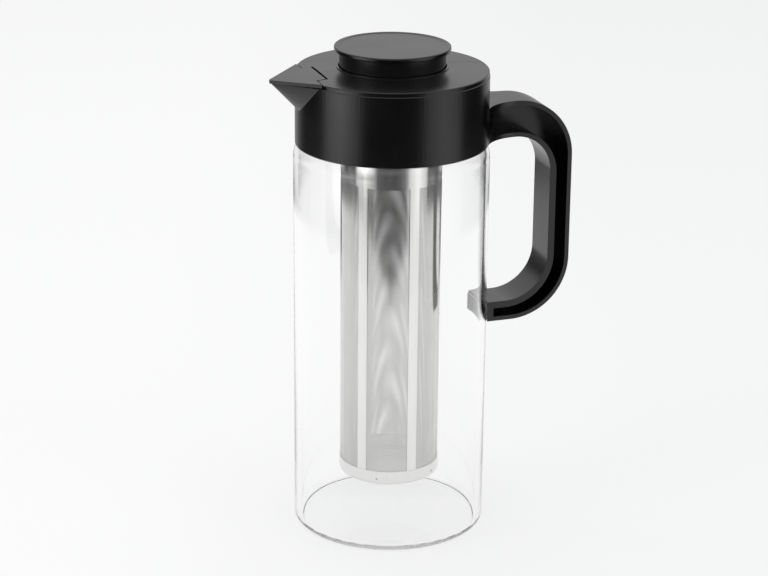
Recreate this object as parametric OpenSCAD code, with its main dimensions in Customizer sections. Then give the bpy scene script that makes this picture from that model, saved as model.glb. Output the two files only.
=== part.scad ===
// Iced tea maker: a glass jug with a collar and handle, a pouring lid with
// a hinged spout flap, a pull-off cap and a hanging steel filter.
// Z is up, the jug stands on Z = 0 about the Z axis, the handle points
// along +X and the spout along -X. All sizes are in millimetres.

/* [Glass jug] */
// Outer radius of the glass
jug_r = 50; // [44:0.5:60]
// Height at which the straight glass wall ends and the shoulder starts
wall_top = 199.5; // [170:0.5:260]
// Thickness of the glass wall
glass_wall = 2.5; // [1.8:0.1:3]
// Thickness of the glass floor
floor_t = 2.6; // [2.4:0.1:6]
// Outer radius of the rounded heel
heel_r = 3.5; // [3.5:0.5:6]
// Radius of the shoulder curve
shoulder_r = 12; // [11:0.5:16]
// How far the neck stands in from the glass wall
neck_in = 7.5; // [7:0.25:9]
// Height of the straight neck
neck_h = 15.5; // [12:0.5:24]
// Depth of the hollow under the floor
punt_depth = 0.8; // [0.4:0.1:1.5]
// Width of the flat ring that the jug stands on
stand_w = 6; // [4:0.5:10]

/* [Collar] */
// How far the collar stands in from the glass wall
collar_in = 0.8; // [0.4:0.1:1.5]
// Height of the collar above its lower edge
collar_h = 35.8; // [32:0.2:44]
// Height of the collar's lower edge above the start of the shoulder
collar_lift = 6.5; // [6:0.1:8]
// Thickness of the collar's outer wall
collar_wall = 1.8; // [1.4:0.1:2.4]
// Thickness of the collar's deck over the glass rim
deck_t = 2; // [1.5:0.1:3]
// Thickness of the collar's inner barrel
barrel_t = 1.7; // [1.2:0.1:2]
// Thickness of the silicone neck seal
seal_t = 1.2; // [0.8:0.1:1.6]

/* [Spout] */
// How far the spout's tip stands out from the collar
spout_out = 13.9; // [10:0.1:22]
// Half the width of the spout where it meets the lid
spout_half_w = 22.7; // [18:0.1:26]
// Depth of the spout's keel below the collar's top
keel_drop = 16.8; // [12:0.2:19]
// Roundness of the spout's keel, from 1 for a sharp V
keel_round = 1.25; // [1.1:0.05:2]
// How far the spout's top edge falls towards the tip
spout_fall = 0.8; // [0.2:0.1:2]
// Height of the blunt edge at the spout's tip
tip_edge = 0.4; // [0.2:0.1:1]
// Distance from the outside of the spout's tip to its channel
spout_wall = 3.2; // [2.4:0.1:5]

/* [Handle] */
// How far the handle stands out from the collar
handle_out = 45.9; // [36:0.1:60]
// Width of the handle
handle_w = 21; // [16:0.5:28]
// Height of the upper arm where it meets the collar
root_h = 19; // [16:0.5:24]
// Height of the handle from the underside of the foot to its top
handle_h = 118.3; // [100:0.1:150]
// Thickness of the vertical grip
grip_t = 12; // [10:0.5:16]
// Thickness of the lower arm
foot_t = 10.6; // [9:0.1:14]
// Outer bend radius at the top
top_bend = 31; // [26:0.5:34]
// Outer bend radius at the bottom
low_bend = 32; // [26:0.5:34]
// Inner bend radius at the top
top_hollow = 19.5; // [12:0.5:22]
// Inner bend radius at the bottom
low_hollow = 23; // [12:0.5:23.5]
// Radius of the flare that blends the handle into the collar
flare_r = 22; // [16:1:24]
// Thickness of the handle's flanges on the outside of the bend
outer_flange = 2.3; // [1.8:0.1:3]
// Thickness of the handle's flanges on the hand side
inner_flange = 3.6; // [1.8:0.1:4]
// Thickness of the handle's web, on its far side
web_t = 2; // [1.5:0.1:3]
// Thickness of the pad between the handle's foot and the glass
pad_t = 1.3; // [0.8:0.1:2]

/* [Lid] */
// Thickness of the lid at its edge
lid_t = 2.2; // [2:0.1:3]
// Rise of the lid's top from its edge to the cap
lid_rise = 1.4; // [0.6:0.1:3]
// How far the lid's edge stands in from the collar
lid_in = 0.3; // [0:0.1:0.8]
// Length of the skirt that plugs the neck
skirt_h = 25.8; // [24:0.2:30]
// Thickness of the skirt
skirt_t = 2; // [1.6:0.1:2.5]
// Gap all round between the skirt and the glass
skirt_gap = 1.4; // [0.8:0.1:2]
// Height of the lid's gasket
gasket_h = 5; // [3:0.5:6]
// Number of pouring slots in the skirt
slots = 5; // [3:1:5]
// Width of one pouring slot
slot_w = 3.2; // [2:0.1:3.6]

/* [Spout flap] */
// Thickness of the flap
flap_t = 1.8; // [1.4:0.1:2.4]
// How far the flap's corner would stand out past the spout's tip
flap_over = 1.9; // [0.5:0.1:4]
// Gap between the flap and the lid
flap_gap = 0.6; // [0.4:0.05:0.8]
// Half the width of the flap's hinge tongue
tongue_half_w = 12.9; // [8:0.1:13.5]
// Length of the hinge tongue behind the flap
tongue_l = 4.8; // [4:0.1:5.5]
// Radius of the hinge pin
pin_r = 0.6; // [0.5:0.05:0.7]
// Running clearance of the hinge pin in the flap
pin_fit = 0.05; // [0.02:0.01:0.1]
// Length of the pin that the lid holds at each end
pin_seat = 3; // [2:0.1:3.5]

/* [Cap] */
// Height of the cap above the lid's edge
cap_h = 12.1; // [9:0.1:20]
// Thickness of the cap's disc
cap_disc_t = 2.2; // [1.8:0.1:3.5]
// How far the cap's disc overhangs its neck
cap_over = 2.6; // [1.5:0.1:5]
// Thickness of the cap's wall
cap_wall = 2.2; // [1.8:0.1:3]
// Depth of the dish in the cap's top
dish_depth = 0.4; // [0.2:0.1:0.8]
// Height of the cap's gasket
cap_seal_h = 2.4; // [1.6:0.1:3]

/* [Filter] */
// Outer radius of the filter tube
filter_r = 25.9; // [22:0.1:28]
// Thickness of the filter tube
tube_wall = 0.5; // [0.4:0.05:0.8]
// Thickness of the fine mesh sleeve
mesh_t = 0.2; // [0.15:0.05:0.3]
// Gap between the filter and the glass floor
filter_gap = 24.4; // [10:0.2:50]
// How far the filter's rim stands out from the tube
rim_w = 1.2; // [1:0.1:1.8]
// Height of the filter's rim
rim_t = 1.2; // [0.8:0.1:2]
// Height of the filter's bottom cup
cup_h = 7.8; // [7.4:0.2:12]
// Thickness of the filter's bottom cup
cup_t = 0.4; // [0.3:0.05:0.5]
// Number of mesh windows around the filter
windows = 6; // [4:1:8]
// Angle of the plain strip between two windows
strip_angle = 11.5; // [8:0.5:20]
// Height of the plain band at the top of the filter
plain_top = 49; // [20:1:80]
// Number of weep holes in the bottom cup
weep_holes = 5; // [3:1:8]

/* [Hidden] */
$fn = 96;
// Overshoot of a cut past the face it opens, and the gap between parts
// that slide past each other
over = 1;
slide_gap = 0.3;

// Glass jug
bore_r = jug_r - glass_wall;
neck_r = jug_r - neck_in;
mouth_r = neck_r - glass_wall;
stand_r = jug_r - heel_r;
punt_r = stand_r - stand_w;
// The shoulder turns in by this angle, and a small reverse curve
// carries it into the neck
turn_r = 3;
shoulder_turn = acos(1 - neck_in / (shoulder_r + turn_r));
neck_z = wall_top + (shoulder_r + turn_r) * sin(shoulder_turn);
rim_z = neck_z + neck_h;
arc_steps = 16;

// Collar
collar_r = jug_r - collar_in;
collar_z = wall_top + collar_lift;
collar_top = collar_z + collar_h;
collar_bore = collar_r - collar_wall;
seal_r = neck_r + seal_t;
barrel_r = seal_r + barrel_t;
deck_z = rim_z + seal_t;
deck_top = deck_z + deck_t;
// The lower edge is relieved on the inside to clear the shoulder
relief_h = 2.4;
relief_gap = 0.35;
shoulder_at_edge = jug_r - shoulder_r
    + sqrt(pow(shoulder_r, 2) - pow(collar_lift, 2));
edge_bore = shoulder_at_edge + relief_gap;
edge_chamfer = 0.3;

// Lid
lid_r = collar_r - lid_in;
lid_z = collar_top;
lid_top = lid_z + lid_t;
skirt_r = mouth_r - skirt_gap;
skirt_z = lid_z - skirt_h;
groove_d = 1;
gasket_z = skirt_z + 2.5;
gasket_r = mouth_r - slide_gap;
crown_z = lid_top + lid_rise;
lip_h = 0.5;
lip_w = 1;

// Filter and the socket in the lid that it hangs in
rim_r = filter_r + rim_w;
socket_r = rim_r + slide_gap;
socket_wall = 2;
socket_depth = 8;
ledge_t = 1.6;
ledge_r = filter_r + 0.4;
ledge_z = lid_top - socket_depth;
filter_top = ledge_z + rim_t;
filter_z = floor_t + filter_gap;
cup_round = 2.4;
bend_z = filter_z + cup_round;
weep_r = 0.5;
weep_rise = 3.6;
// The tube starts above the weep holes, inside the cup
tube_lift = 1.2;
tube_z = filter_z + weep_rise + tube_lift;
window_z = filter_z + cup_h;
window_top = filter_top - plain_top;
mesh_r = filter_r - tube_wall;
mesh_lap = 2;
// Angle of the first window's middle, measured from the handle
window_phase = 8.3;
cup_r = filter_r + cup_t;
weep_phase = 21.4;

// Cap
cap_top = lid_top + cap_h;
cap_disc_z = cap_top - cap_disc_t;
neck_play = 0.55;
cap_neck_r = socket_r - neck_play;
cap_disc_r = cap_neck_r + cap_over;
cap_z = filter_top + 0.8;
cap_seal_z = cap_z + 1.8;
cap_seal_r = socket_r - 0.25;
cap_groove_d = 1.4;

// The lid's top slopes up towards the cap, and the flap follows it
slope_r = lid_r - 0.4;
lid_slope = atan2(lid_rise, slope_r - socket_r - lip_w);

// Spout
spout_x = collar_r + spout_out;
chord_x = sqrt(pow(lid_r, 2) - pow(spout_half_w, 2));
spout_z = lid_z - spout_fall;
// The spout's top edge starts to fall inside the collar's wall
root_x = sqrt(pow(collar_bore, 2) - pow(spout_half_w + collar_wall, 2));
buried_r = (collar_r + collar_bore) / 2;
curve_steps = 16;

// Flap, with the pivot measured along the slope from the lid's edge
flap_x = chord_x + flap_gap;
flap_tip_x = spout_x + flap_over;
tip_round = 1.5;
tongue_x = flap_x - tongue_l;
notch_x = tongue_x - 1.2;
notch_half_w = tongue_half_w + 0.35;
knuckle_r = 1.25;
pivot_in = slope_r - flap_x + 2.7;
pivot_drop = 1.35;
pivot_x = slope_r - pivot_in * cos(lid_slope) - pivot_drop * sin(lid_slope);
pivot_z = lid_top + pivot_in * sin(lid_slope)
    - pivot_drop * cos(lid_slope);
slot_pitch = 2 * tongue_half_w / slots;
slot_top = lid_z - 4.8;
pocket_h = 1.8;

// Handle
handle_x = collar_r + handle_out;
grip_x = handle_x - grip_t;
handle_top = collar_z + root_h;
handle_z = handle_top - handle_h;
foot_x = jug_r + pad_t;
web_y = handle_w / 2 - web_t;
// Centre of the flare's arc, and of its mirror image across the handle
flare_y = handle_w / 2 + flare_r;
flare_x = sqrt(pow(collar_r + flare_r, 2) - pow(flare_y, 2));
root_wall = 2;
// Key on the handle's root that locks into the collar's wall
key_w = 14;
key_h = 9;
key_fit = 0.1;
pad_margin = 1;

// Points of an arc from angle a0 to a1 about [cx, cy]
function arc(cx, cy, r, a0, a1, n = arc_steps) =
    [for (i = [0:n]) let (a = a0 + (a1 - a0) * i / n)
        [cx + r * cos(a), cy + r * sin(a)]];

// Solid of revolution inside an outline of the glass, set in from its
// outer face by t and standing on a floor at height z
module glass_outline(t, z, heel, top) {
    shoulder_c = jug_r - shoulder_r;
    turn_c = neck_r + turn_r;
    rotate_extrude()
        polygon(concat(
            [[0, z]],
            arc(jug_r - t - heel, z + heel, heel, -90, 0, 8),
            arc(shoulder_c, wall_top, shoulder_r - t, 0, shoulder_turn),
            arc(turn_c, neck_z, turn_r + t, 180 + shoulder_turn, 180),
            [[neck_r - t, top], [0, top]]));
}

module glass_jug() {
    rim_round = glass_wall / 2;
    color("lightcyan", 0.35) {
        difference() {
            glass_outline(0, 0, heel_r, rim_z - rim_round);
            glass_outline(glass_wall, floor_t, heel_r - glass_wall,
                          rim_z + over);
            translate([0, 0, -over])
                cylinder(h = over + punt_depth, r = punt_r);
        }
        // Fire-polished rim
        translate([0, 0, rim_z - rim_round])
            rotate_extrude()
                translate([neck_r - rim_round, 0])
                    circle(r = rim_round);
    }
}

// Silicone sleeve around the neck, turned in over the rim
module neck_seal() {
    color("gainsboro")
        difference() {
            translate([0, 0, neck_z + over])
                cylinder(h = deck_z - neck_z - over, r = seal_r);
            translate([0, 0, neck_z])
                cylinder(h = rim_z - neck_z, r = neck_r);
            translate([0, 0, neck_z])
                cylinder(h = deck_z - neck_z + over, r = mouth_r + 0.2);
        }
}

// Height of the spout's underside at the collar, v to the side of the keel
function keel_z(v) =
    lid_z - keel_drop * (1 - pow(abs(v) / spout_half_w, keel_round));

// Solid between the spout's tip and its outline on the collar's wall,
// stretched about the tip, moved back by shift and carried up by rise
module spout_body(stretch, shift = 0, rise = 0) {
    n = curve_steps;
    tip = [-spout_x, 0, spout_z - tip_edge];
    function out(p) = tip + stretch * (p - tip) + [shift, 0, 0];
    curve = [for (i = [0:n])
        let (v = spout_half_w * (2 * i / n - 1))
            out([-sqrt(pow(buried_r, 2) - pow(v, 2)), v, keel_z(v)])];
    lift = [0, 0, rise];
    back = (curve[0] + curve[n]) / 2 + [6, 0, 0] + lift;
    polyhedron(
        points = concat(curve, [out(tip), out(tip) + lift, back,
                                curve[0] + lift, curve[n] + lift]),
        faces = concat(
            [for (i = [0:n - 1]) [i + 1, n + 1, i]],
            [for (i = [0:n - 1]) [i, n + 3, i + 1]],
            [[0, n + 1, n + 4], [n + 4, n + 1, n + 2],
             [n, n + 5, n + 1], [n + 1, n + 5, n + 2],
             [n + 4, n + 2, n + 3], [n + 3, n + 2, n + 5],
             [0, n + 4, n + 3], [n, n + 3, n + 5]]));
}

module collar_ring() {
    rotate_extrude()
        polygon([[edge_bore, collar_z],
                 [collar_r - edge_chamfer, collar_z],
                 [collar_r, collar_z + edge_chamfer],
                 [collar_r, lid_z - edge_chamfer],
                 [collar_r - edge_chamfer, lid_z],
                 [collar_bore, lid_z],
                 [collar_bore, deck_top],
                 [mouth_r, deck_top],
                 [mouth_r, deck_z],
                 [seal_r, deck_z],
                 [seal_r, neck_z + over],
                 [barrel_r, neck_z + over],
                 [barrel_r, deck_z],
                 [collar_bore, deck_z],
                 [collar_bore, collar_z + relief_h]]);
}

// Block on the handle's root that plugs into the collar's wall
module root_key(fit) {
    translate([collar_bore - fit, -key_w / 2 - fit,
               collar_z + (root_h - key_h) / 2 - fit])
        cube([collar_wall + root_wall + fit, key_w + 2 * fit,
              key_h + 2 * fit]);
}

module collar() {
    color([0.09, 0.09, 0.09])
        difference() {
            union() {
                collar_ring();
                difference() {
                    spout_body(1.3, rise = 1);
                    translate([0, 0, collar_z])
                        cylinder(h = 2 * collar_h, r = collar_bore + 0.4);
                    // The top edge falls from the collar to the tip
                    translate([-root_x, 0, lid_z])
                        rotate([0, -atan2(spout_fall, spout_x - root_x),
                                0])
                            translate([-2 * spout_x, -spout_x, 0])
                                cube([3 * spout_x, 2 * spout_x,
                                      collar_h]);
                }
            }
            // Channel from inside the collar to the tip, open at the top
            difference() {
                spout_body(1.5, spout_wall, 3);
                translate([0, 0, collar_z])
                    cylinder(h = deck_top + 0.4 - collar_z,
                             r = 2 * collar_r);
            }
            root_key(key_fit);
        }
}

// D-shaped outline with its two outer corners rounded
module d_shape(x0, x1, z0, z1, r_top, r_low) {
    difference() {
        translate([x0, z0])
            square([x1 - x0, z1 - z0]);
        translate([x1 - r_top, z1 - r_top])
            difference() {
                square(r_top + over);
                circle(r = r_top);
            }
        translate([x1 - r_low, z0 + r_low])
            difference() {
                translate([0, -r_low - over])
                    square(r_low + over);
                circle(r = r_low);
            }
    }
}

// Side view of the handle, extruded from y0 to y1
module across(y0, y1) {
    translate([0, y1, 0])
        rotate([90, 0, 0])
            linear_extrude(y1 - y0)
                children();
}

// Plan of the root, flared to meet the collar on a tangent
module flare_plan(near_r, far_r, bore) {
    difference() {
        polygon([[0, 0], [flare_x, -flare_y], [flare_x, flare_y]]);
        translate([flare_x, -flare_y])
            circle(r = near_r);
        translate([flare_x, flare_y])
            circle(r = far_r);
        circle(r = bore);
    }
}

module handle() {
    color([0.07, 0.07, 0.07])
        difference() {
            union() {
                across(-handle_w / 2, handle_w / 2)
                    difference() {
                        d_shape(jug_r, handle_x, handle_z, handle_top,
                                top_bend, low_bend);
                        d_shape(jug_r - over, grip_x,
                                handle_z + foot_t, collar_z,
                                top_hollow, low_hollow);
                    }
                translate([0, 0, collar_z])
                    linear_extrude(root_h)
                        flare_plan(flare_r, flare_r, collar_r);
                root_key(0);
            }
            // Channel down the side, open towards -Y
            across(-handle_w, web_y)
                difference() {
                    d_shape(foot_x + outer_flange,
                            handle_x - outer_flange,
                            handle_z + outer_flange,
                            handle_top - outer_flange,
                            top_bend - outer_flange,
                            low_bend - outer_flange);
                    d_shape(jug_r - over, grip_x + inner_flange,
                            handle_z + foot_t - inner_flange,
                            collar_z + outer_flange,
                            top_hollow + inner_flange,
                            low_hollow + inner_flange);
                }
            translate([0, 0, collar_z + outer_flange])
                linear_extrude(root_h - 2 * outer_flange)
                    flare_plan(0.01, flare_r + web_t,
                               collar_r + root_wall);
            // The foot is hollowed to the glass and its pad
            translate([0, 0, handle_z - over])
                cylinder(h = handle_h / 2, r = foot_x);
            // The upper arm stops at the collar's face
            difference() {
                translate([0, 0, collar_z - over])
                    cylinder(h = root_h + 2 * over, r = collar_r);
                root_key(0);
            }
        }
}

module foot_pad() {
    color("lightgray", 0.8)
        intersection() {
            translate([0, 0, handle_z + pad_margin])
                difference() {
                    cylinder(h = foot_t - 2 * pad_margin, r = foot_x);
                    translate([0, 0, -over])
                        cylinder(h = foot_t + over, r = jug_r);
                }
            translate([0, -handle_w / 2 + pad_margin, 0])
                cube([handle_x, handle_w - 2 * pad_margin,
                      collar_top]);
        }
}

module lid_body() {
    under_z = lid_z + lid_rise / 2;
    rotate_extrude()
        polygon([[socket_r, crown_z + lip_h],
                 [socket_r, ledge_z],
                 [ledge_r, ledge_z],
                 [ledge_r, ledge_z - ledge_t],
                 [socket_r + socket_wall, ledge_z - ledge_t],
                 [socket_r + socket_wall, under_z],
                 [skirt_r - skirt_t, lid_z],
                 [skirt_r - skirt_t, skirt_z],
                 [skirt_r, skirt_z],
                 [skirt_r, gasket_z],
                 [skirt_r - groove_d, gasket_z],
                 [skirt_r - groove_d, gasket_z + gasket_h],
                 [skirt_r, gasket_z + gasket_h],
                 [skirt_r, lid_z],
                 [lid_r, lid_z],
                 [lid_r, lid_top - 0.4],
                 [lid_r - 0.4, lid_top],
                 [socket_r + lip_w, crown_z],
                 [socket_r + lip_w, crown_z + lip_h]]);
}

module lid() {
    slot_z = gasket_z + gasket_h + 2;
    pin_end = notch_half_w + pin_seat;
    color([0.1, 0.1, 0.1])
        difference() {
            lid_body();
            // The flap's seat, its tongue's notch and a pocket below
            translate([-lid_r - over, -lid_r, lid_z - over])
                cube([lid_r + over - chord_x, 2 * lid_r,
                      lid_t + 2 * over]);
            translate([-chord_x - over, -notch_half_w, lid_z - pocket_h])
                cube([chord_x + over - notch_x, 2 * notch_half_w,
                      pocket_h + lid_t + lid_rise + over]);
            // Pouring slots above the gasket
            for (i = [0:slots - 1])
                translate([-skirt_r - over,
                           (i - (slots - 1) / 2) * slot_pitch - slot_w / 2,
                           slot_z])
                    cube([skirt_t + 5, slot_w, slot_top - slot_z]);
            translate([-pivot_x, pin_end, pivot_z])
                rotate([90, 0, 0])
                    cylinder(h = 2 * pin_end, r = pin_r);
        }
}

module lid_gasket() {
    fin_h = gasket_h / 5;
    root_r = skirt_r + 0.2;
    color("whitesmoke")
        rotate_extrude()
            polygon([[skirt_r - groove_d, gasket_z],
                     [root_r, gasket_z],
                     [gasket_r, gasket_z + fin_h],
                     [gasket_r, gasket_z + 1.4 * fin_h],
                     [root_r, gasket_z + 2 * fin_h],
                     [root_r, gasket_z + 3 * fin_h],
                     [gasket_r, gasket_z + 4 * fin_h],
                     [gasket_r, gasket_z + 4.4 * fin_h],
                     [root_r, gasket_z + gasket_h],
                     [skirt_r - groove_d, gasket_z + gasket_h]]);
}

// Plan of the flap, measured from the lid's edge, the tip towards -X
module flap_plan() {
    // Half the angle at the tip, and the centre of its rounding
    tip_half = atan2(spout_half_w, flap_tip_x - chord_x);
    tip_c = flap_tip_x - tip_round / sin(tip_half);
    shoulder_y = (flap_tip_x - flap_x) * tan(tip_half);
    translate([slope_r, 0])
        polygon(concat(
            [[-flap_x, -shoulder_y], [-flap_x, -tongue_half_w],
             [-tongue_x, -tongue_half_w], [-tongue_x, tongue_half_w],
             [-flap_x, tongue_half_w], [-flap_x, shoulder_y]],
            arc(-tip_c, 0, tip_round, 90 + tip_half, 270 - tip_half, 8)));
}

module spout_flap() {
    color([0.11, 0.11, 0.11])
        translate([-slope_r, 0, lid_top])
            rotate([0, -lid_slope, 0])
                difference() {
                    union() {
                        translate([0, 0, -flap_t])
                            linear_extrude(flap_t)
                                flap_plan();
                        // Knuckle around the pin
                        translate([pivot_in, tongue_half_w, -pivot_drop])
                            rotate([90, 0, 0])
                                cylinder(h = 2 * tongue_half_w,
                                         r = knuckle_r);
                    }
                    translate([pivot_in, tongue_half_w + over,
                               -pivot_drop])
                        rotate([90, 0, 0])
                            cylinder(h = 2 * (tongue_half_w + over),
                                     r = pin_r + pin_fit);
                }
}

module hinge_pin() {
    half_l = notch_half_w + pin_seat - 0.2;
    color("silver")
        translate([-pivot_x, half_l, pivot_z])
            rotate([90, 0, 0])
                cylinder(h = 2 * half_l, r = pin_r);
}

module cap() {
    groove_r = cap_neck_r - cap_groove_d;
    bore = cap_neck_r - cap_wall;
    color([0.1, 0.1, 0.1])
        rotate_extrude()
            polygon([[0, cap_top - dish_depth],
                     [cap_disc_r - 3, cap_top - dish_depth],
                     [cap_disc_r - 2, cap_top],
                     [cap_disc_r - 0.5, cap_top],
                     [cap_disc_r, cap_top - 0.5],
                     [cap_disc_r, cap_disc_z + 0.4],
                     [cap_disc_r - 0.4, cap_disc_z],
                     [cap_neck_r, cap_disc_z],
                     [cap_neck_r, cap_seal_z + cap_seal_h],
                     [groove_r, cap_seal_z + cap_seal_h],
                     [groove_r, cap_seal_z],
                     [cap_neck_r, cap_seal_z],
                     [cap_neck_r, cap_z + 0.5],
                     [cap_neck_r - 0.5, cap_z],
                     [bore, cap_z],
                     [bore, cap_disc_z - 0.6],
                     [0, cap_disc_z - 0.6]]);
}

module cap_gasket() {
    color("whitesmoke")
        rotate_extrude()
            polygon([[cap_neck_r - cap_groove_d, cap_seal_z],
                     [cap_neck_r, cap_seal_z],
                     [cap_seal_r, cap_seal_z + 0.4 * cap_seal_h],
                     [cap_seal_r, cap_seal_z + 0.6 * cap_seal_h],
                     [cap_neck_r, cap_seal_z + cap_seal_h],
                     [cap_neck_r - cap_groove_d, cap_seal_z + cap_seal_h]]);
}

// Sector between two angles, out to a radius
module sector(a0, a1, r) {
    reach = 2 * r;
    polygon([[0, 0], [reach * cos(a0), reach * sin(a0)],
             [reach * cos((a0 + a1) / 2), reach * sin((a0 + a1) / 2)],
             [reach * cos(a1), reach * sin(a1)]]);
}

module filter_tube() {
    pitch = 360 / windows;
    color("silver")
        difference() {
            translate([0, 0, tube_z])
                cylinder(h = filter_top - tube_z, r = filter_r);
            translate([0, 0, tube_z - over])
                cylinder(h = filter_top - tube_z + 2 * over, r = mesh_r);
            for (i = [0:windows - 1])
                rotate(window_phase + i * pitch)
                    translate([0, 0, window_z])
                        linear_extrude(window_top - window_z)
                            sector(-(pitch - strip_angle) / 2,
                                   (pitch - strip_angle) / 2, filter_r);
        }
}

module filter_mesh() {
    mesh_z = window_z - mesh_lap;
    mesh_h = window_top - window_z + 2 * mesh_lap;
    color("darkgray", 0.7)
        translate([0, 0, mesh_z])
            difference() {
                cylinder(h = mesh_h, r = mesh_r);
                translate([0, 0, -over])
                    cylinder(h = mesh_h + 2 * over, r = mesh_r - mesh_t);
            }
}

// Rolled rim that hangs on the ledge in the lid
module filter_rim() {
    color("silver")
        translate([0, 0, ledge_z])
            difference() {
                cylinder(h = rim_t, r = rim_r);
                translate([0, 0, -over])
                    cylinder(h = rim_t + 2 * over, r = filter_r);
            }
}

module filter_base() {
    color("silver")
        difference() {
            rotate_extrude()
                polygon(concat(
                    [[0, filter_z]],
                    arc(cup_r - cup_round, bend_z, cup_round, -90, 0, 8),
                    [[cup_r, window_z], [filter_r, window_z]],
                    arc(cup_r - cup_round, bend_z, cup_round - cup_t,
                        0, -90, 8),
                    [[0, filter_z + cup_t]]));
            for (i = [0:weep_holes - 1])
                rotate(weep_phase + i * 360 / weep_holes)
                    translate([0, 0, filter_z + weep_rise])
                        rotate([0, 90, 0])
                            cylinder(h = cup_r + over, r = weep_r);
        }
}

glass_jug();
neck_seal();
collar();
handle();
foot_pad();
lid();
lid_gasket();
spout_flap();
hinge_pin();
cap();
cap_gasket();
filter_tube();
filter_mesh();
filter_rim();
filter_base();
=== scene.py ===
"""Dressing of the iced tea maker: a glass jug with a black collar, spout and
handle, a black lid with a spout flap and a cap, and a hanging steel filter.
The sizes of pieces are in millimetres. The stage, lamps and camera are in metres."""

import math

import bmesh
import bpy
from mathutils import Matrix, Vector


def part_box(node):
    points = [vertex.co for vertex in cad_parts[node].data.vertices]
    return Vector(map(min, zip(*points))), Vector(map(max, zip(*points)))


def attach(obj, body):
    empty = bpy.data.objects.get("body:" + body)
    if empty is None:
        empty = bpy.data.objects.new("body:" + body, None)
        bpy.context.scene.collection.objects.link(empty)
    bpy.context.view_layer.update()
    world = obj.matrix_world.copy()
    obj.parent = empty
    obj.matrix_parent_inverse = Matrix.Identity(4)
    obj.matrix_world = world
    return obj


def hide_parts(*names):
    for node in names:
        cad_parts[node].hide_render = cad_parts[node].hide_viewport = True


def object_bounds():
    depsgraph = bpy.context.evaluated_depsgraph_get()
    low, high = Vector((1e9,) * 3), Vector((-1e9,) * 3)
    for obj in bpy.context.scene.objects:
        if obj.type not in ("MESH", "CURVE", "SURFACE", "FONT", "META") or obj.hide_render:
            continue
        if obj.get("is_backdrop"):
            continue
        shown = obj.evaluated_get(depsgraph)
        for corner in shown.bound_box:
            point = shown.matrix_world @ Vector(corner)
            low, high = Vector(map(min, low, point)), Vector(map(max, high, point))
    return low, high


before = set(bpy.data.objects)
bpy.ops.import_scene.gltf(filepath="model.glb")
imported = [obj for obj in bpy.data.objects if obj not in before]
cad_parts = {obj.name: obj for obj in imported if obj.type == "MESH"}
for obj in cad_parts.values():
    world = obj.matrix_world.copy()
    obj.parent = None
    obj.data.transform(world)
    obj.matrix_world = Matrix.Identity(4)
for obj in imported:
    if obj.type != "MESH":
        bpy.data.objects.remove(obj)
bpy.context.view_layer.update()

MM = 0.001


def box_mm(node):
    """Lowest and highest corner of a CAD node, in millimetres."""
    return [[round(side / MM, 2) for side in corner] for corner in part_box(node)]


# Glass jug
JUG_R = box_mm("glass_jug")[1][0]
GLASS_WALL = 2.5
FLOOR_T = 2.6
HEEL_R = 3.5
SHOULDER_R = 12
SHOULDER_Z = 199.5
SHOULDER_TURN = 60
NECK_R = 42.5
NECK_TURN_R = 3
NECK_TURN_Z = 212.49
LIP_R = GLASS_WALL / 2
LIP_Z = 226.74
# The dome under the floor is a wave, with a ring at each millimetre of radius
DOME_RINGS = range(2, 43)
DOME_REACH = 45
DOME_LEVEL = 0.58
DOME_SWING = 0.22
# Radius, level and rounding of the corners between the dome and the ring
# that the jug stands on
FOOT_STEP = [(43.6, 0.36, 0), (45.2, 0.33, 0.8), (46.0, 0, 0.6), (46.4, 0, 0)]
# A turned outline leaves a small hole at the axis, which is then filled
JUG_HUB_R = 0.4
CAP_HUB_R = 0.3

# Widths of the rounded edges of the moulded pieces
SHELL_EDGE = 0.2
FLAP_EDGE = 0.3
HANDLE_EDGE = 0.4
# Levels at which the collar's tall faces are cut
COLLAR_CUTS = (210, 215, 220, 225, 229, 232, 235, 237.5, 239.5, 240.8)

# The lid's top rises inwards between two radii. A fine line crosses it.
LID_EDGE_Z = 244
SLOPE_OUTER_R = 48.5
SLOPE_INNER_R = 28.4
SLOPE_RISE = 1.4
LINE_WIDTH = 0.3
LINE_CUT_HEIGHT = 0.5

# Cap, with a shallow dish in its top and a groove for its gasket
CAP_R = box_mm("cap")[1][0]
CAP_TOP = box_mm("cap")[1][2]
CAP_FOOT = box_mm("cap")[0][2]
GROOVE_LOW = box_mm("cap_gasket")[0][2]
GROOVE_TOP = box_mm("cap_gasket")[1][2]
CAP_NECK_R = 26.85
GROOVE_R = 25.45
CAP_BORE_R = 24.65
DISH_Z = CAP_TOP - 0.4
DISH_R = 26.45
DISH_RIM_R = 27.45
DISC_Z = CAP_TOP - 2.2
CAP_ROOF_Z = CAP_TOP - 2.8

# Filter sleeve. Its windows start at the cup and end short of the mesh.
SLEEVE_R = box_mm("filter_tube")[1][0]
SLEEVE_FOOT = box_mm("filter_tube")[0][2]
SLEEVE_TOP = box_mm("filter_tube")[1][2]
SLEEVE_T = 0.5
MESH_LAP = 2
WINDOW_LOW = box_mm("filter_base")[1][2]
WINDOW_TOP = box_mm("filter_mesh")[1][2] - MESH_LAP
PLAIN_BAND_CUT = 212
WINDOW_PITCH = 60
WINDOW_TURN = 8.3
STRIP_ANGLE = 11.5
SLEEVE_SIDES = 720


# Modelling helpers

def deselect_all():
    if bpy.context.object and bpy.context.object.mode != "OBJECT":
        bpy.ops.object.mode_set(mode="OBJECT")
    bpy.ops.object.select_all(action="DESELECT")


def name_piece(name):
    piece = bpy.context.object
    piece.name = name
    piece.data.name = name
    return piece


def arc(r_centre, z_centre, radius, start, end, steps):
    """Points of an arc in the turning plane, angles in degrees from +r."""
    points = []
    for i in range(steps + 1):
        angle = math.radians(start + (end - start) * i / steps)
        points.append((r_centre + radius * math.cos(angle),
                       z_centre + radius * math.sin(angle)))
    return points


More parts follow.
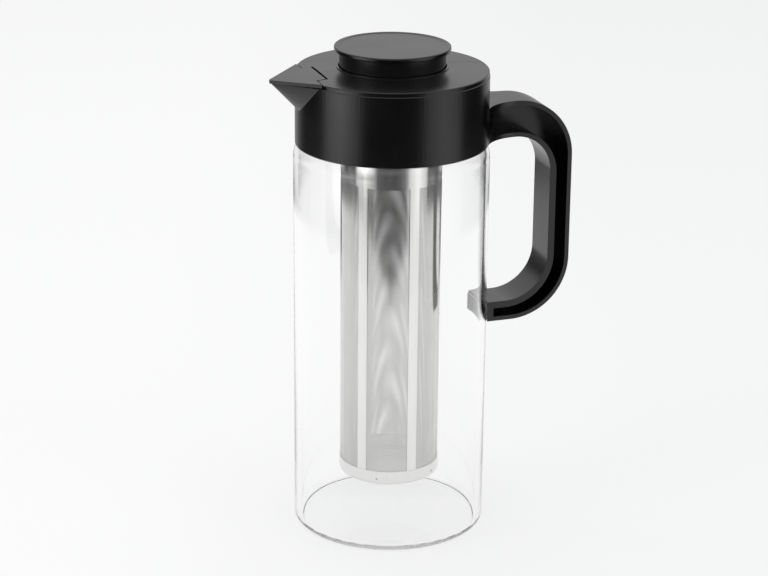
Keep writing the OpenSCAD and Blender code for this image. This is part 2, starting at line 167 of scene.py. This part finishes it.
def eased(corners):
    """An open outline whose corners (r, z, radius) are rounded off."""
    step_angle = math.radians(22)
    points = []
    last = len(corners) - 1
    for i, (r, z, radius) in enumerate(corners):
        here = Vector((r, z))
        if radius == 0 or i in (0, last):
            points.append((r, z))
            continue
        before = Vector(corners[i - 1][:2]) - here
        after = Vector(corners[i + 1][:2]) - here
        # An arc takes at most this much of the shorter side
        room = 0.48 * min(before.length, after.length)
        before.normalize()
        after.normalize()
        half = before.angle(after) / 2
        reach = min(radius / math.tan(half), room)
        true_radius = reach * math.tan(half)
        middle = here + (before + after).normalized() * true_radius / math.sin(half)
        first = here + before * reach - middle
        turn = math.pi - 2 * half
        if first.x * (here - middle).y - first.y * (here - middle).x < 0:
            turn = -turn
        steps = max(2, round(abs(turn) / step_angle))
        for step in range(steps + 1):
            angle = turn * step / steps
            points.append((
                middle.x + first.x * math.cos(angle) - first.y * math.sin(angle),
                middle.y + first.x * math.sin(angle) + first.y * math.cos(angle)))
    return points


def turned(name, outline, steps):
    """A piece turned about Z: a circle carried along the outline, which has
    both its ends filled."""
    deselect_all()
    r, z = outline[0]
    bpy.ops.mesh.primitive_circle_add(vertices=steps, radius=r * MM)
    piece = name_piece(name)
    bpy.ops.object.mode_set(mode="EDIT")
    bpy.ops.transform.translate(value=(0, 0, z * MM))
    for next_r, next_z in outline[1:]:
        bpy.ops.mesh.extrude_region_move(
            TRANSFORM_OT_translate={"value": (0, 0, (next_z - z) * MM)})
        grow = next_r / r
        bpy.ops.transform.resize(value=(grow, grow, 1),
                                 center_override=(0, 0, next_z * MM))
        r, z = next_r, next_z
    merge_close_vertices()
    bpy.ops.mesh.select_all(action="SELECT")
    bpy.ops.mesh.fill_holes(sides=0)
    bpy.ops.mesh.select_all(action="SELECT")
    bpy.ops.mesh.normals_make_consistent(inside=False)
    bpy.ops.object.mode_set(mode="OBJECT")
    return piece


def merge_close_vertices():
    bpy.ops.mesh.select_all(action="SELECT")
    bpy.ops.mesh.remove_doubles(threshold=0.002 * MM)


def finish_piece(piece, body, node, material, angle=32, weighted=False):
    """Shade a piece by angle and hand it to the frame. Weighted normals let
    its large faces set the shading of the narrow ones beside them."""
    deselect_all()
    piece.select_set(True)
    bpy.context.view_layer.objects.active = piece
    bpy.ops.object.transform_apply(location=True, rotation=True, scale=True)
    bpy.ops.object.shade_smooth_by_angle(angle=math.radians(angle))
    if weighted:
        apply_modifier(piece, "WEIGHTED_NORMAL", keep_sharp=True, weight=80)
    piece.data.materials.clear()
    piece.data.materials.append(material)
    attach(piece, body)
    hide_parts(node)


def apply_modifier(piece, kind, **values):
    deselect_all()
    piece.select_set(True)
    bpy.context.view_layer.objects.active = piece
    modifier = piece.modifiers.new(kind.title(), kind)
    for key, value in values.items():
        setattr(modifier, key, value)
    bpy.ops.object.modifier_apply(modifier=modifier.name)


def eased_copy(node, name, width, levels=()):
    """A copy of a CAD node's mesh, merged, with its sharp edges rounded.
    Cuts at the levels keep a corner's shading from running down a tall face."""
    deselect_all()
    piece = bpy.data.objects.new(name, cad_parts[node].data.copy())
    piece.data.name = name
    bpy.context.scene.collection.objects.link(piece)
    piece.select_set(True)
    bpy.context.view_layer.objects.active = piece
    bpy.ops.mesh.customdata_custom_splitnormals_clear()
    bpy.ops.object.mode_set(mode="EDIT")
    merge_close_vertices()
    bpy.ops.mesh.dissolve_limited(angle_limit=math.radians(0.4))
    for level in levels:
        bpy.ops.mesh.select_all(action="SELECT")
        bpy.ops.mesh.bisect(plane_co=(0, 0, level * MM), plane_no=(0, 0, 1))
    bpy.ops.object.mode_set(mode="OBJECT")
    apply_modifier(piece, "BEVEL", width=width * MM, segments=3,
                   limit_method="ANGLE", angle_limit=math.radians(30),
                   harden_normals=False, use_clamp_overlap=True,
                   miter_outer="MITER_ARC")
    return piece


# Shared effects, as node groups

def new_group(name, inputs, outputs):
    group = bpy.data.node_groups.new(name, "ShaderNodeTree")
    for label, kind, value in inputs:
        socket = group.interface.new_socket(
            name=label, in_out="INPUT", socket_type="NodeSocket" + kind)
        if value is not None:
            socket.default_value = value
    for label in outputs:
        group.interface.new_socket(
            name=label, in_out="OUTPUT", socket_type="NodeSocketFloat")
    return group, group.nodes.new("NodeGroupInput"), group.nodes.new("NodeGroupOutput")


def set_or_link(tree, socket, value):
    """Give a socket a plain number, or link it to another node's output."""
    if isinstance(value, (int, float)):
        socket.default_value = value
    else:
        tree.links.new(value, socket)


def math_node(tree, operation, first, second=None, third=None):
    node = tree.nodes.new("ShaderNodeMath")
    node.operation = operation
    for socket, value in zip(node.inputs, (first, second, third)):
        if value is not None:
            set_or_link(tree, socket, value)
    return node.outputs[0]


def noise_node(tree, vector, scale, detail, roughness):
    node = tree.nodes.new("ShaderNodeTexNoise")
    node.inputs["Detail"].default_value = detail
    node.inputs["Roughness"].default_value = roughness
    tree.links.new(vector, node.inputs["Vector"])
    set_or_link(tree, node.inputs["Scale"], scale)
    return node.outputs["Fac"]


def stretched(tree, vector, scale):
    node = tree.nodes.new("ShaderNodeMapping")
    node.inputs["Scale"].default_value = scale
    tree.links.new(vector, node.inputs["Vector"])
    return node.outputs["Vector"]


def range_node(tree, value, low, high, new_low, new_high):
    node = tree.nodes.new("ShaderNodeMapRange")
    for key, item in (("Value", value), ("From Min", low), ("From Max", high),
                      ("To Min", new_low), ("To Max", new_high)):
        set_or_link(tree, node.inputs[key], item)
    return node.outputs["Result"]


def mix_colour(tree, factor, first, second):
    node = tree.nodes.new("ShaderNodeMix")
    node.data_type = "RGBA"
    tree.links.new(factor, node.inputs["Factor"])
    node.inputs["A"].default_value = (*first, 1)
    node.inputs["B"].default_value = (*second, 1)
    return node.outputs["Result"]


# Noise rarely leaves this range
NOISE_LOW = 0.3
NOISE_HIGH = 0.7


def make_surface_grain():
    """Moulded surface: a slow drift for colour, a ripple with a fine grain
    for the bump, and a roughness between two values."""
    group, given, result = new_group(
        "surface_grain",
        [("Vector", "Vector", None), ("Grain Scale", "Float", 2500.0),
         ("Drift Scale", "Float", 30.0), ("Rough Low", "Float", 0.3),
         ("Rough High", "Float", 0.4)],
        ["Drift", "Ripple", "Roughness"])
    place = given.outputs["Vector"]
    grain = noise_node(group, place, given.outputs["Grain Scale"], 2.0, 0.6)
    drift = noise_node(group, place, given.outputs["Drift Scale"], 3.0, 0.55)
    blend = math_node(group, "MULTIPLY_ADD", grain, 0.25,
                      math_node(group, "MULTIPLY", drift, 0.75))
    rough = range_node(group, blend, NOISE_LOW, NOISE_HIGH,
                       given.outputs["Rough Low"], given.outputs["Rough High"])
    # The ripple runs in level bands round the piece
    waves = noise_node(group, stretched(group, place, (22, 22, 260)), 1.0, 2.0, 0.5)
    ripple = math_node(group, "MULTIPLY_ADD", waves, 0.7,
                       math_node(group, "MULTIPLY", grain, 0.3))
    group.links.new(drift, result.inputs["Drift"])
    group.links.new(ripple, result.inputs["Ripple"])
    group.links.new(rough, result.inputs["Roughness"])
    return group


def make_rolled_streaks():
    """Streaks of rolled sheet steel, long in Z."""
    group, given, result = new_group(
        "rolled_streaks",
        [("Vector", "Vector", None), ("Rough Low", "Float", 0.2),
         ("Rough High", "Float", 0.3)],
        ["Streaks", "Roughness"])
    streaks = noise_node(group, stretched(group, given.outputs["Vector"], (900, 900, 12)),
                         1.0, 3.0, 0.6)
    rough = range_node(group, streaks, NOISE_LOW, NOISE_HIGH,
                       given.outputs["Rough Low"], given.outputs["Rough High"])
    group.links.new(streaks, result.inputs["Streaks"])
    group.links.new(rough, result.inputs["Roughness"])
    return group


def make_perforation():
    """Staggered rows of round holes on a tube about Z. Solid is 1 on the
    metal, and the hole share is a hole's radius as a share of the pitch."""
    row_step = 0.866
    edge_softness = 0.03
    group, given, result = new_group(
        "perforation",
        [("Vector", "Vector", None), ("Tube Radius", "Float", 0.0255),
         ("Pitch", "Float", 0.0009), ("Hole Share", "Float", 0.3)],
        ["Solid"])
    parts = group.nodes.new("ShaderNodeSeparateXYZ")
    group.links.new(given.outputs["Vector"], parts.inputs[0])
    x, y, z = parts.outputs
    pitch = given.outputs["Pitch"]
    around = math_node(group, "MULTIPLY", math_node(group, "ARCTAN2", y, x),
                       given.outputs["Tube Radius"])
    column = math_node(group, "DIVIDE", around, pitch)
    row = math_node(group, "DIVIDE", z, math_node(group, "MULTIPLY", pitch, row_step))
    row_floor = math_node(group, "FLOOR", row)
    odd = math_node(group, "MULTIPLY",
                    math_node(group, "MODULO", row_floor, 2.0), 0.5)
    in_column = math_node(group, "SUBTRACT", math_node(
        group, "FRACT", math_node(group, "ADD", column, odd)), 0.5)
    in_row = math_node(group, "MULTIPLY", math_node(group, "SUBTRACT", math_node(
        group, "SUBTRACT", row, row_floor), 0.5), row_step)
    distance = math_node(group, "SQRT", math_node(
        group, "ADD", math_node(group, "MULTIPLY", in_column, in_column),
        math_node(group, "MULTIPLY", in_row, in_row)))
    share = given.outputs["Hole Share"]
    solid = range_node(group, distance,
                       math_node(group, "SUBTRACT", share, edge_softness),
                       math_node(group, "ADD", share, edge_softness), 0.0, 1.0)
    group.links.new(solid, result.inputs["Solid"])
    return group


SURFACE_GRAIN = make_surface_grain()
ROLLED_STREAKS = make_rolled_streaks()
PERFORATION = make_perforation()


# Materials

def new_material(name):
    material = bpy.data.materials.new(name)
    material.use_nodes = True
    tree = material.node_tree
    shader = tree.nodes["Principled BSDF"]
    place = tree.nodes.new("ShaderNodeTexCoord")
    return material, tree, shader, place.outputs["Object"]


def use_group(tree, group, vector, **values):
    node = tree.nodes.new("ShaderNodeGroup")
    node.node_tree = group
    tree.links.new(vector, node.inputs["Vector"])
    for key, value in values.items():
        node.inputs[key.replace("_", " ").title()].default_value = value
    return node


def add_bump(tree, shader, height, distance, strength):
    bump = tree.nodes.new("ShaderNodeBump")
    bump.inputs["Distance"].default_value = distance
    bump.inputs["Strength"].default_value = strength
    tree.links.new(height, bump.inputs["Height"])
    tree.links.new(bump.outputs["Normal"], shader.inputs["Normal"])


def moulded_plastic(name, dark, light, rough_low, rough_high, grain, depth):
    material, tree, shader, place = new_material(name)
    skin = use_group(tree, SURFACE_GRAIN, place, grain_scale=grain,
                     drift_scale=28.0, rough_low=rough_low, rough_high=rough_high)
    tree.links.new(mix_colour(tree, skin.outputs["Drift"], dark, light),
                   shader.inputs["Base Color"])
    tree.links.new(skin.outputs["Roughness"], shader.inputs["Roughness"])
    add_bump(tree, shader, skin.outputs["Ripple"], 0.06 * MM, depth)
    return material


def silicone(name, dark, light, transmission):
    material = moulded_plastic(name, dark, light, 0.42, 0.55, grain=1400.0, depth=0.2)
    shader = material.node_tree.nodes["Principled BSDF"]
    shader.inputs["Transmission Weight"].default_value = transmission
    shader.inputs["Subsurface Weight"].default_value = 0.2
    shader.inputs["Subsurface Radius"].default_value = (0.002, 0.002, 0.002)
    shader.inputs["IOR"].default_value = 1.41
    return material


def sheet_steel(name, dark, light, rough_low, rough_high, perforated=False):
    material, tree, shader, place = new_material(name)
    sheet = use_group(tree, ROLLED_STREAKS, place, rough_low=rough_low,
                      rough_high=rough_high)
    tree.links.new(mix_colour(tree, sheet.outputs["Streaks"], dark, light),
                   shader.inputs["Base Color"])
    tree.links.new(sheet.outputs["Roughness"], shader.inputs["Roughness"])
    add_bump(tree, shader, sheet.outputs["Streaks"], 0.02 * MM, 0.05)
    shader.inputs["Metallic"].default_value = 1.0
    if perforated:
        holes = use_group(tree, PERFORATION, place)
        tree.links.new(holes.outputs["Solid"], shader.inputs["Alpha"])
    return material


def clear_glass():
    material, tree, shader, place = new_material("clear_glass")
    shader.inputs["Base Color"].default_value = (1, 1, 1, 1)
    shader.inputs["Metallic"].default_value = 0.0
    shader.inputs["Transmission Weight"].default_value = 1.0
    shader.inputs["Roughness"].default_value = 0.0
    shader.inputs["IOR"].default_value = 1.47
    draw = use_group(tree, SURFACE_GRAIN, place, drift_scale=9.0)
    add_bump(tree, shader, draw.outputs["Drift"], 0.4 * MM, 0.12)
    # Light passes the thin wall, so the glass throws only a faint shadow
    light_path = tree.nodes.new("ShaderNodeLightPath")
    clear = tree.nodes.new("ShaderNodeBsdfTransparent")
    clear.inputs["Color"].default_value = (0.94, 0.95, 0.95, 1)
    either = tree.nodes.new("ShaderNodeMixShader")
    tree.links.new(light_path.outputs["Is Shadow Ray"], either.inputs[0])
    tree.links.new(shader.outputs[0], either.inputs[1])
    tree.links.new(clear.outputs[0], either.inputs[2])
    tree.links.new(either.outputs[0], tree.nodes["Material Output"].inputs["Surface"])
    return material


BLACK = moulded_plastic("satin_black_plastic", (0.0015, 0.0015, 0.0016),
                        (0.0035, 0.0035, 0.0036), 0.20, 0.29, grain=2500.0, depth=0.6)
GLASS = clear_glass()
PALE_SILICONE = silicone("clear_silicone", (0.55, 0.56, 0.56), (0.68, 0.68, 0.68),
                         transmission=0.35)
WHITE_SILICONE = silicone("white_silicone", (0.72, 0.72, 0.70), (0.80, 0.80, 0.78),
                          transmission=0.0)
FILTER_STEEL = sheet_steel("filter_steel", (0.80, 0.80, 0.79), (0.85, 0.85, 0.84),
                           0.12, 0.18)
PIN_STEEL = sheet_steel("polished_steel", (0.62, 0.62, 0.61), (0.74, 0.74, 0.73),
                        0.12, 0.2)
MESH_STEEL = sheet_steel("perforated_steel", (0.70, 0.70, 0.69), (0.76, 0.76, 0.75),
                         0.09, 0.13, perforated=True)


# Glass jug

def jug_outline():
    """From the dome under the floor, up the outside, over the lip and down
    the inside to the floor."""
    dome = [(r, DOME_LEVEL + DOME_SWING * math.cos(math.pi * r / DOME_REACH))
            for r in DOME_RINGS]
    heel_centre_r = JUG_R - HEEL_R
    shoulder_centre_r = JUG_R - SHOULDER_R
    neck_turn_centre_r = NECK_R + NECK_TURN_R
    neck_turn_start = 180 + SHOULDER_TURN
    outside = (
        [(JUG_HUB_R, DOME_LEVEL + DOME_SWING)] + dome + eased(FOOT_STEP)
        + arc(heel_centre_r, HEEL_R, HEEL_R, -90, 0, 10)
        + arc(shoulder_centre_r, SHOULDER_Z, SHOULDER_R, 0, SHOULDER_TURN, 14)
        + arc(neck_turn_centre_r, NECK_TURN_Z, NECK_TURN_R, neck_turn_start, 180, 6)
        + arc(NECK_R - LIP_R, LIP_Z, LIP_R, 0, 180, 12))
    inner_heel_r = HEEL_R - GLASS_WALL
    inside = (
        arc(neck_turn_centre_r, NECK_TURN_Z, NECK_TURN_R + GLASS_WALL,
            180, neck_turn_start, 6)
        + arc(shoulder_centre_r, SHOULDER_Z, SHOULDER_R - GLASS_WALL,
              SHOULDER_TURN, 0, 14)
        + arc(heel_centre_r, FLOOR_T + inner_heel_r, inner_heel_r, 0, -90, 8)
        + [(JUG_HUB_R, FLOOR_T)])
    return outside + inside


jug = turned("jug_glass", jug_outline(), 256)
finish_piece(jug, "jug", "glass_jug", GLASS, angle=60)

# Collar with its spout, and the handle
collar = eased_copy("collar", "collar_shell", SHELL_EDGE, COLLAR_CUTS)
finish_piece(collar, "jug", "collar", BLACK, angle=25, weighted=True)
handle = eased_copy("handle", "handle_frame", HANDLE_EDGE)
finish_piece(handle, "jug", "handle", BLACK, weighted=True)


# Lid and its spout flap

def cut_line(piece, side, middle_r, length):
    """Cut the fine line into the sloping top, towards the handle where side
    is 1 and towards the spout where it is -1."""
    slope = math.atan2(SLOPE_RISE, SLOPE_OUTER_R - SLOPE_INNER_R)
    line_z = LID_EDGE_Z + (SLOPE_OUTER_R - middle_r) * math.tan(slope)
    deselect_all()
    bpy.ops.mesh.primitive_cube_add(
        size=1, location=(side * middle_r * MM, 0, line_z * MM),
        rotation=(0, side * slope, 0))
    cutter = name_piece("parting_line_cut")
    cutter.scale = (length * MM, LINE_WIDTH * MM, LINE_CUT_HEIGHT * MM)
    bpy.ops.object.transform_apply(location=True, rotation=True, scale=True)
    apply_modifier(piece, "BOOLEAN", operation="DIFFERENCE", solver="EXACT",
                   object=cutter)
    bpy.data.objects.remove(cutter)


lid = eased_copy("lid", "lid_cover", SHELL_EDGE)
cut_line(lid, side=-1, middle_r=32.2, length=7.4)
cut_line(lid, side=1, middle_r=38, length=19)
finish_piece(lid, "lid", "lid", BLACK, weighted=True)
flap = eased_copy("spout_flap", "flap_plate", FLAP_EDGE)
finish_piece(flap, "flap", "spout_flap", BLACK, weighted=True)


# Cap

def cap_outline():
    """From the dish in the top, down the outside and up the inside."""
    corners = [
        (24, DISH_Z, 0), (DISH_R, DISH_Z, 1.5), (DISH_RIM_R, CAP_TOP, 1.5),
        (CAP_R, CAP_TOP, 0.7), (CAP_R, DISC_Z, 0.5), (CAP_NECK_R, DISC_Z, 0.5),
        (CAP_NECK_R, GROOVE_TOP, 0.15), (GROOVE_R, GROOVE_TOP, 0),
        (GROOVE_R, GROOVE_LOW, 0), (CAP_NECK_R, GROOVE_LOW, 0.15),
        (CAP_NECK_R, CAP_FOOT, 0.5), (CAP_BORE_R, CAP_FOOT, 0.3),
        (CAP_BORE_R, CAP_ROOF_Z, 1.2), (20, CAP_ROOF_Z, 0)]
    return [(CAP_HUB_R, DISH_Z)] + eased(corners) + [(CAP_HUB_R, CAP_ROOF_Z)]


cap = turned("cap_knob", cap_outline(), 224)
finish_piece(cap, "cap", "cap", BLACK)


# Filter sleeve with its windows

def in_window(x, y):
    """True where a point lies off the plain strips, which stand half way
    between the middles of the windows."""
    turn = (math.degrees(math.atan2(y, x)) - WINDOW_TURN) % WINDOW_PITCH
    return abs(turn - WINDOW_PITCH / 2) > STRIP_ANGLE / 2


sleeve_heights = [SLEEVE_FOOT, (SLEEVE_FOOT + WINDOW_LOW) / 2, WINDOW_LOW,
                  WINDOW_TOP, PLAIN_BAND_CUT, SLEEVE_TOP]
deselect_all()
# The small turn puts the windows' edges on the sleeve's own edges
bpy.ops.mesh.primitive_circle_add(vertices=SLEEVE_SIDES, radius=SLEEVE_R * MM,
                                  rotation=(0, 0, math.radians(0.05)))
sleeve = name_piece("filter_sleeve")
bpy.ops.object.transform_apply(location=False, rotation=True, scale=False)
bpy.ops.object.mode_set(mode="EDIT")
bpy.ops.transform.translate(value=(0, 0, sleeve_heights[0] * MM))
for low, high in zip(sleeve_heights, sleeve_heights[1:]):
    bpy.ops.mesh.extrude_region_move(
        TRANSFORM_OT_translate={"value": (0, 0, (high - low) * MM)})
bpy.ops.mesh.select_all(action="SELECT")
bpy.ops.mesh.normals_make_consistent(inside=False)
bpy.ops.mesh.select_all(action="DESELECT")
shape = bmesh.from_edit_mesh(sleeve.data)
for face in shape.faces:
    middle = face.calc_center_median()
    face.select_set(WINDOW_LOW * MM < middle.z < WINDOW_TOP * MM
                    and in_window(middle.x, middle.y))
bmesh.update_edit_mesh(sleeve.data)
bpy.ops.mesh.delete(type="FACE")
bpy.ops.object.mode_set(mode="OBJECT")
apply_modifier(sleeve, "SOLIDIFY", thickness=SLEEVE_T * MM, offset=-1)
finish_piece(sleeve, "filter", "filter_tube", FILTER_STEEL)

# CAD nodes that keep their own shape
for node, material in (
        ("neck_seal", PALE_SILICONE),
        ("foot_pad", PALE_SILICONE),
        ("lid_gasket", WHITE_SILICONE),
        ("cap_gasket", WHITE_SILICONE),
        ("hinge_pin", PIN_STEEL),
        ("filter_mesh", MESH_STEEL),
        ("filter_rim", FILTER_STEEL),
        ("filter_base", FILTER_STEEL)):
    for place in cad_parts[node].material_slots:
        place.material = material


# Floor, world, lamps and camera

CAMERA_PLACE = Vector((-0.38096, -1.10639, 0.54028))
# Degrees: the turn about Z, the look down, and the roll
CAMERA_TURN = -18.84
CAMERA_DROP = 19.45
CAMERA_ROLL = math.degrees(0.009)
CAMERA_LENS = 112.2

# Brightness of the studio by azimuth, from behind the object round by the
# left, the camera and the right: backdrop, dark side, softbox, dark camera
# side, softbox, dark side, backdrop
AROUND = ((-180, 0.32), (-150, 0.28), (-134, 0.12), (-122, 0.0), (-88, 0.0),
          (-78, 0.75), (-60, 1.10), (-46, 0.70), (-30, 0.02), (0, 0.015),
          (30, 0.03), (46, 0.45), (62, 0.60), (80, 0.42), (92, 0.0),
          (124, 0.0), (138, 0.25), (155, 0.32), (180, 0.32))
STUDIO_PEAK = 2.0

# What the camera sees of the floor: its colour at the left and the right of
# the picture, painted darker to the right as light falloff, and how far to each side that
# is
FLOOR_LIT_LEFT = (0.938, 0.940, 0.942)
FLOOR_SHADED_RIGHT = (0.893, 0.897, 0.901)
FLOOR_HALF_WIDTH = 0.16
FLOOR_GLOW = 1.068
SHADOW_SHARE = 0.25

# What gloss reflects of the floor: a lit sheet whose edge is nearest towards
# the camera and goes further off with each radian of azimuth
SHEET_NEAREST = 0.385
SHEET_GROWTH = 0.16
SHEET_FARTHEST = 0.566
SHEET_FADE = (-0.015, 0.025)
# Painted shadow of the jug on the sheet: its level close to the axis, and the reaches over
# which it rises to full
SHEET_SHADE_LEVEL = 0.84
SHEET_SHADE_REACH = (0.06, 0.20)
# A dark strip lies past the sheet's edge, save between these azimuths,
# where the softbox stands close
GAP_LEFT = (math.radians(-40), math.radians(-30))
GAP_RIGHT = (math.radians(85), math.radians(100))
GAP_END = (0.62, 0.72)
GAP_LEVEL = 0.02

# Height, as a share of a direction's length, at which the studio's walls
# give way to its bright ceiling
CEILING_START = (0.12, 0.34)
CEILING_LEVEL = 1.2


def ray_kinds(tree):
    """Masks of rays that have been mirrored, and of rays that come straight
    or through glass to the camera. A ray mirrored inside the glass alone
    has crossed it from one to three times, and counts as straight."""
    light_path = tree.nodes.new("ShaderNodeLightPath")
    crossings = light_path.outputs["Transmission Depth"]
    inside = math_node(tree, "MULTIPLY", math_node(tree, "GREATER_THAN", crossings, 0.5),
                       math_node(tree, "LESS_THAN", crossings, 3.5))
    mirrored = math_node(
        tree, "MULTIPLY", math_node(tree, "GREATER_THAN",
                                    light_path.outputs["Glossy Depth"], 0.5),
        math_node(tree, "SUBTRACT", 1.0, inside))
    direct = math_node(tree, "MAXIMUM", light_path.outputs["Is Camera Ray"],
                       light_path.outputs["Is Transmission Ray"])
    return mirrored, direct


def from_camera_side(tree, vector):
    """The vector turned so that x points to the camera, and its azimuth."""
    turn = tree.nodes.new("ShaderNodeMapping")
    turn.inputs["Rotation"].default_value = (0, 0, math.radians(90 - CAMERA_TURN))
    tree.links.new(vector, turn.inputs["Vector"])
    parts = tree.nodes.new("ShaderNodeSeparateXYZ")
    tree.links.new(turn.outputs["Vector"], parts.inputs[0])
    x, y, z = parts.outputs
    return x, y, z, math_node(tree, "ARCTAN2", y, x)


def brightness_around(tree, azimuth):
    ramp = tree.nodes.new("ShaderNodeValToRGB")
    ramp.color_ramp.interpolation = "EASE"
    stops = ramp.color_ramp.elements
    for count, (angle, value) in enumerate(AROUND):
        place = (angle + 180) / 360
        # A new ramp has two stops already
        if count < 2:
            stop = stops[count]
            stop.position = place
        else:
            stop = stops.new(place)
        stop.color = (value, value, value, 1)
    share = range_node(tree, azimuth, -math.pi, math.pi, 0.0, 1.0)
    tree.links.new(share, ramp.inputs["Fac"])
    return math_node(tree, "MULTIPLY", ramp.outputs["Color"], STUDIO_PEAK)


def mix_shaders(tree, factor, first, second):
    node = tree.nodes.new("ShaderNodeMixShader")
    set_or_link(tree, node.inputs[0], factor)
    tree.links.new(first.outputs[0], node.inputs[1])
    tree.links.new(second.outputs[0], node.inputs[2])
    return node


def seen_floor(tree, y):
    """Near white, with painted light falloff that leaves it a little darker to the right,
    and with the object's soft shadow.
    """
    across = range_node(tree, y, -FLOOR_HALF_WIDTH, FLOOR_HALF_WIDTH, 0.0, 1.0)
    # Painted light falloff: the floor colour darkens from the left to the right
    falloff_tint = mix_colour(tree, across, FLOOR_LIT_LEFT, FLOOR_SHADED_RIGHT)
    glow = tree.nodes.new("ShaderNodeEmission")
    tree.links.new(falloff_tint, glow.inputs["Color"])
    glow.inputs["Strength"].default_value = FLOOR_GLOW
    cloth = tree.nodes.new("ShaderNodeBsdfDiffuse")
    tree.links.new(falloff_tint, cloth.inputs["Color"])
    return mix_shaders(tree, SHADOW_SHARE, glow, cloth)


def mirrored_floor(tree, x, y, azimuth):
    """The lit sheet near the object, with a painted shadow of the jug on it, and the
    studio past its edge.
    """
    reach = math_node(tree, "SQRT", math_node(
        tree, "ADD", math_node(tree, "MULTIPLY", x, x),
        math_node(tree, "MULTIPLY", y, y)))
    edge = math_node(tree, "MINIMUM", SHEET_FARTHEST, math_node(
        tree, "MULTIPLY_ADD", math_node(tree, "ABSOLUTE", azimuth),
        SHEET_GROWTH, SHEET_NEAREST))
    past = range_node(tree, math_node(tree, "SUBTRACT", reach, edge),
                      *SHEET_FADE, 0.0, 1.0)
    left_gap = range_node(tree, azimuth, *GAP_LEFT, 1.0, 0.0)
    right_gap = range_node(tree, azimuth, *GAP_RIGHT, 0.0, 1.0)
    gap = math_node(tree, "MAXIMUM", left_gap, right_gap)
    beyond = range_node(tree, reach, *GAP_END, 1.0, 0.0)
    open_share = math_node(tree, "SUBTRACT", 1.0, math_node(
        tree, "MULTIPLY", gap, beyond))
    around = math_node(tree, "MAXIMUM", GAP_LEVEL, math_node(
        tree, "MULTIPLY", brightness_around(tree, azimuth), open_share))
    # Painted shade of the jug: the sheet is dimmer close to the axis
    jug_shade = range_node(tree, reach, *SHEET_SHADE_REACH, SHEET_SHADE_LEVEL, 1.0)
    level = math_node(tree, "MULTIPLY_ADD", past,
                      math_node(tree, "SUBTRACT", around, jug_shade), jug_shade)
    light = tree.nodes.new("ShaderNodeEmission")
    tree.links.new(level, light.inputs["Strength"])
    return light


def floor_material():
    material = bpy.data.materials.new("studio_floor")
    material.use_nodes = True
    tree = material.node_tree
    tree.nodes.clear()
    out = tree.nodes.new("ShaderNodeOutputMaterial")
    place = tree.nodes.new("ShaderNodeTexCoord").outputs["Object"]
    x, y, _, azimuth = from_camera_side(tree, place)
    plain = tree.nodes.new("ShaderNodeBsdfDiffuse")
    plain.inputs["Color"].default_value = (0.8, 0.8, 0.8, 1)
    mirrored, direct = ray_kinds(tree)
    straight = mix_shaders(tree, direct, plain, seen_floor(tree, y))
    either = mix_shaders(tree, mirrored, straight, mirrored_floor(tree, x, y, azimuth))
    tree.links.new(either.outputs[0], out.inputs["Surface"])
    return material


deselect_all()
bpy.ops.mesh.primitive_plane_add(size=12)
floor = name_piece("studio_floor")
floor.data.materials.append(floor_material())
floor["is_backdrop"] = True


def studio_world():
    """Mirrored rays see the studio's walls and ceiling, rays to the camera
    a plain 0.95, and all others a 0.75 that fills the shadows."""
    world = bpy.data.worlds.new("studio")
    bpy.context.scene.world = world
    world.use_nodes = True
    tree = world.node_tree
    tree.nodes.clear()
    out = tree.nodes.new("ShaderNodeOutputWorld")
    direction = tree.nodes.new("ShaderNodeTexCoord").outputs["Generated"]
    _, _, height, azimuth = from_camera_side(tree, direction)
    high = range_node(tree, height, *CEILING_START, 0.0, 1.0)
    around = brightness_around(tree, azimuth)
    gloss = math_node(tree, "MULTIPLY_ADD", high,
                      math_node(tree, "SUBTRACT", CEILING_LEVEL, around), around)
    mirrored, direct = ray_kinds(tree)
    straight = math_node(tree, "MULTIPLY_ADD", direct, 0.2, 0.75)
    strength = math_node(tree, "MULTIPLY_ADD", mirrored,
                         math_node(tree, "SUBTRACT", gloss, straight), straight)
    sky = tree.nodes.new("ShaderNodeBackground")
    tree.links.new(strength, sky.inputs["Strength"])
    tree.links.new(sky.outputs[0], out.inputs["Surface"])


studio_world()


def soft_lamp(name, azimuth, height, distance, width, tall, power):
    """An area lamp at an azimuth from the camera's side, aimed at the jug."""
    data = bpy.data.lights.new(name, "AREA")
    data.shape = "RECTANGLE"
    data.size = width
    data.size_y = tall
    data.energy = power
    lamp = bpy.data.objects.new(name, data)
    bpy.context.scene.collection.objects.link(lamp)
    angle = math.radians(-90 + CAMERA_TURN + azimuth)
    lamp.location = (distance * math.cos(angle), distance * math.sin(angle), height)
    aim = Vector((0, 0, 0.16)) - lamp.location
    lamp.rotation_euler = aim.to_track_quat("-Z", "Y").to_euler()
    lamp.visible_camera = False
    lamp.visible_glossy = False
    lamp.visible_transmission = False


soft_lamp("left_softbox", azimuth=-61, height=0.9, distance=1.5, width=0.7, tall=1.1,
          power=5)
soft_lamp("right_softbox", azimuth=62, height=0.9, distance=1.5, width=0.7, tall=1.1,
          power=3.5)
soft_lamp("top_softbox", azimuth=180, height=1.6, distance=0.25, width=1.0, tall=1.0,
          power=6)

view = bpy.data.objects.new("camera", bpy.data.cameras.new("camera"))
bpy.context.scene.collection.objects.link(view)
view.location = CAMERA_PLACE
view.rotation_euler = (Matrix.Rotation(math.radians(CAMERA_TURN), 4, "Z")
                       @ Matrix.Rotation(math.radians(90 - CAMERA_DROP), 4, "X")
                       @ Matrix.Rotation(math.radians(CAMERA_ROLL), 4, "Z")).to_euler()
view.data.lens = CAMERA_LENS
view.data.sensor_width = 36
view.data.clip_start = 0.01
view.data.clip_end = 50
bpy.context.scene.camera = view
bpy.context.scene.view_settings.view_transform = "Standard"
# Light takes many turns inside the glass heel before it gets out
bpy.context.scene.cycles.max_bounces = 32
bpy.context.scene.cycles.glossy_bounces = 24
bpy.context.scene.cycles.transmission_bounces = 32

low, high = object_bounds()
